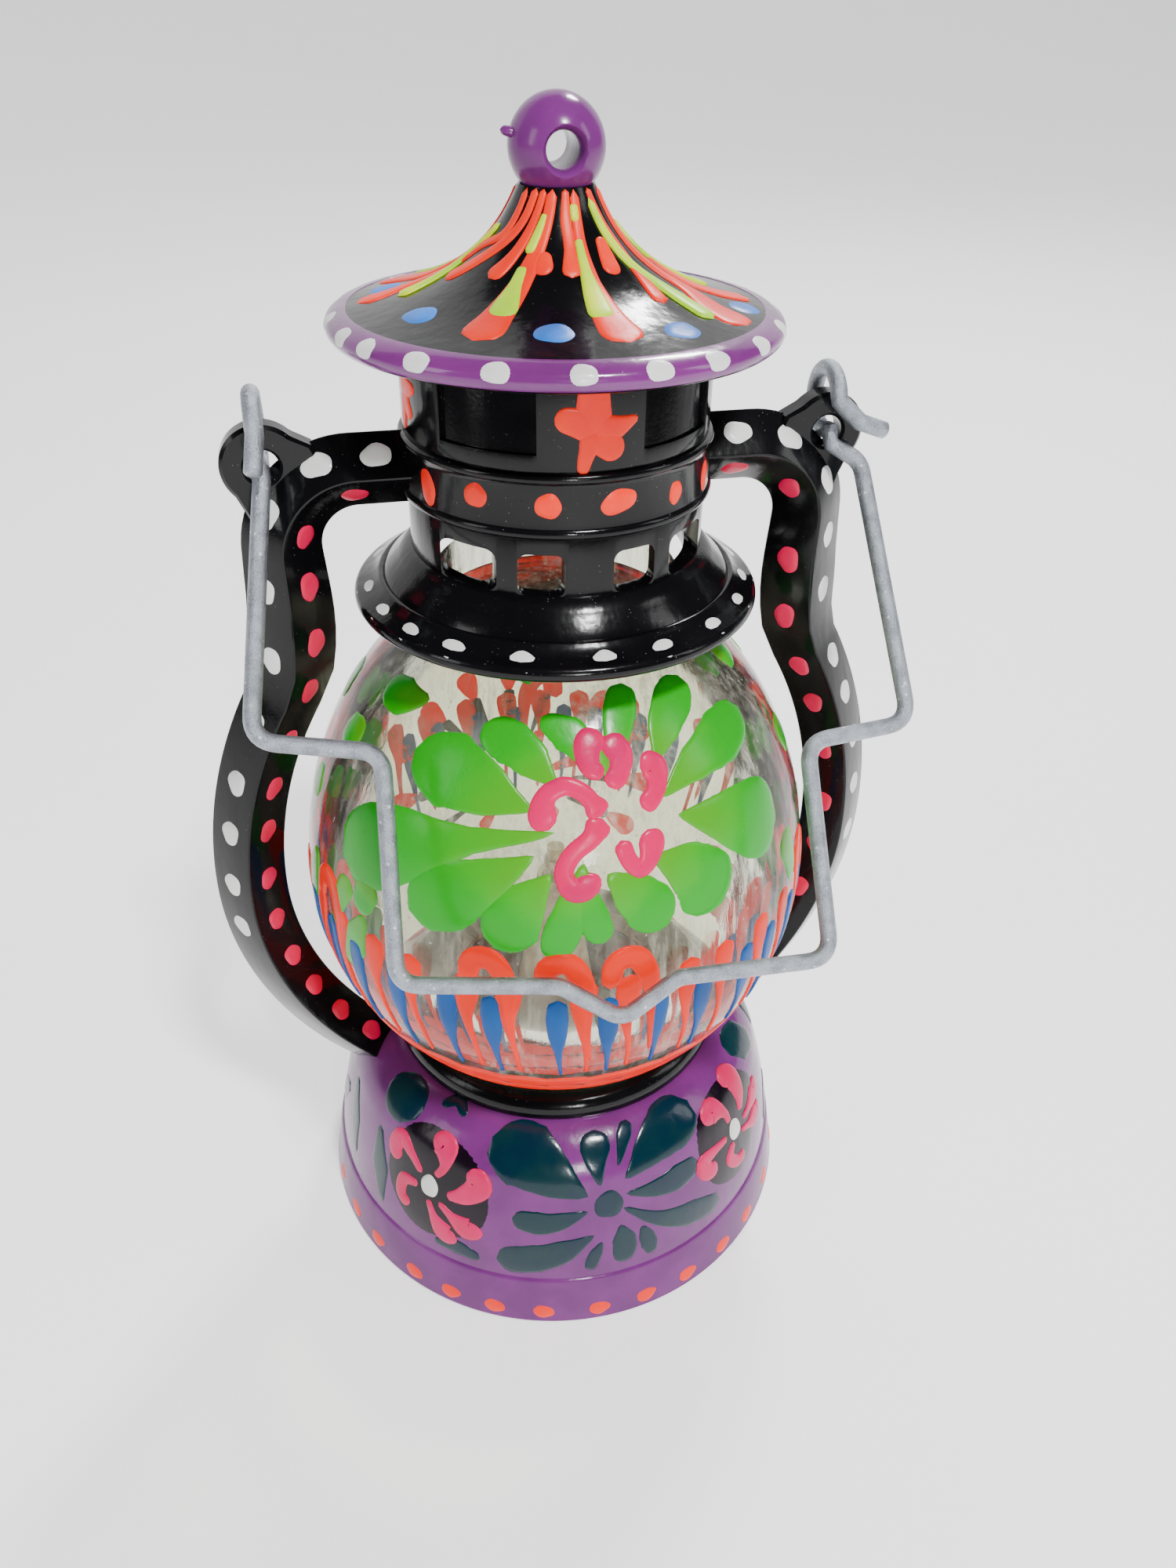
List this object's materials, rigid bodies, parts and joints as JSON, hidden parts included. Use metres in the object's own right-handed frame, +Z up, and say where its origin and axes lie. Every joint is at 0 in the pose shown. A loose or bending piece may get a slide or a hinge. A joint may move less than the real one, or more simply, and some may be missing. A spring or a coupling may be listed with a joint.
{
  "type": "diya oil lamp",
  "caption": "Small painted hurricane lantern with a glass globe round a wick burner, arched side arms, a vented chimney, a flared roof and a swinging wire bail.",
  "frame": {"origin": "middle of the flat underside of the base", "axes": "+Z up; the two arms lie along X; the front, where the bail rests, faces -Y"},
  "size_m": [0.0806, 0.0648, 0.1324],
  "materials": {
    "black_enamel": "thick glossy black enamel with fine dust nibs",
    "purple_enamel": "glossy purple enamel, brushed on by hand",
    "globe_glass": "clear blown glass with seeds and faint vertical streaks, hand painted",
    "galvanised_wire": "dull galvanised wire with fine drawing marks",
    "tinplate": "bare pressed tinplate",
    "base_cover": "satin black sheet",
    "zinc_screws": "zinc plated",
    "cotton_wick": "braided cotton, singed at the tip",
    "cork_seat": "pressed cork ring"
  },
  "bodies": {
    "lamp": {"base_shell": "purple_enamel", "base_cover": "base_cover", "cover_screws": "zinc_screws", "oil_font": "tinplate", "font_lid": "tinplate", "burner_cone": "tinplate", "wick_tube": "tinplate", "neck_ring": "black_enamel", "globe_seat": "cork_seat", "globe_collar": "black_enamel", "vent_ring": "black_enamel", "chimney_band": "black_enamel", "chimney_stack": "black_enamel", "arm_left": "black_enamel", "arm_right": "black_enamel", "arm_screws_top": "zinc_screws", "arm_screws_foot": "zinc_screws", "roof_cap": "black_enamel", "hanging_eye": "purple_enamel", "eye_nut": "zinc_screws"},
    "globe": {"globe": "globe_glass"},
    "wick": {"wick": "cotton_wick"},
    "bail": {"bail": "galvanised_wire"}
  },
  "joints": [
    {"name": "bail_swing", "type": "hinge", "parent": "lamp", "child": "bail", "pos_m": [0, 0, 0.1049], "axis": [-1, 0, 0], "range_deg": [0, 225]},
    {"name": "globe_lift", "type": "slide", "parent": "lamp", "child": "globe", "axis": [0, 0, 1], "range_m": [0, 0.005]},
    {"name": "wick_raise", "type": "slide", "parent": "lamp", "child": "wick", "axis": [0, 0, 1], "range_m": [0, 0.004]}
  ]
}
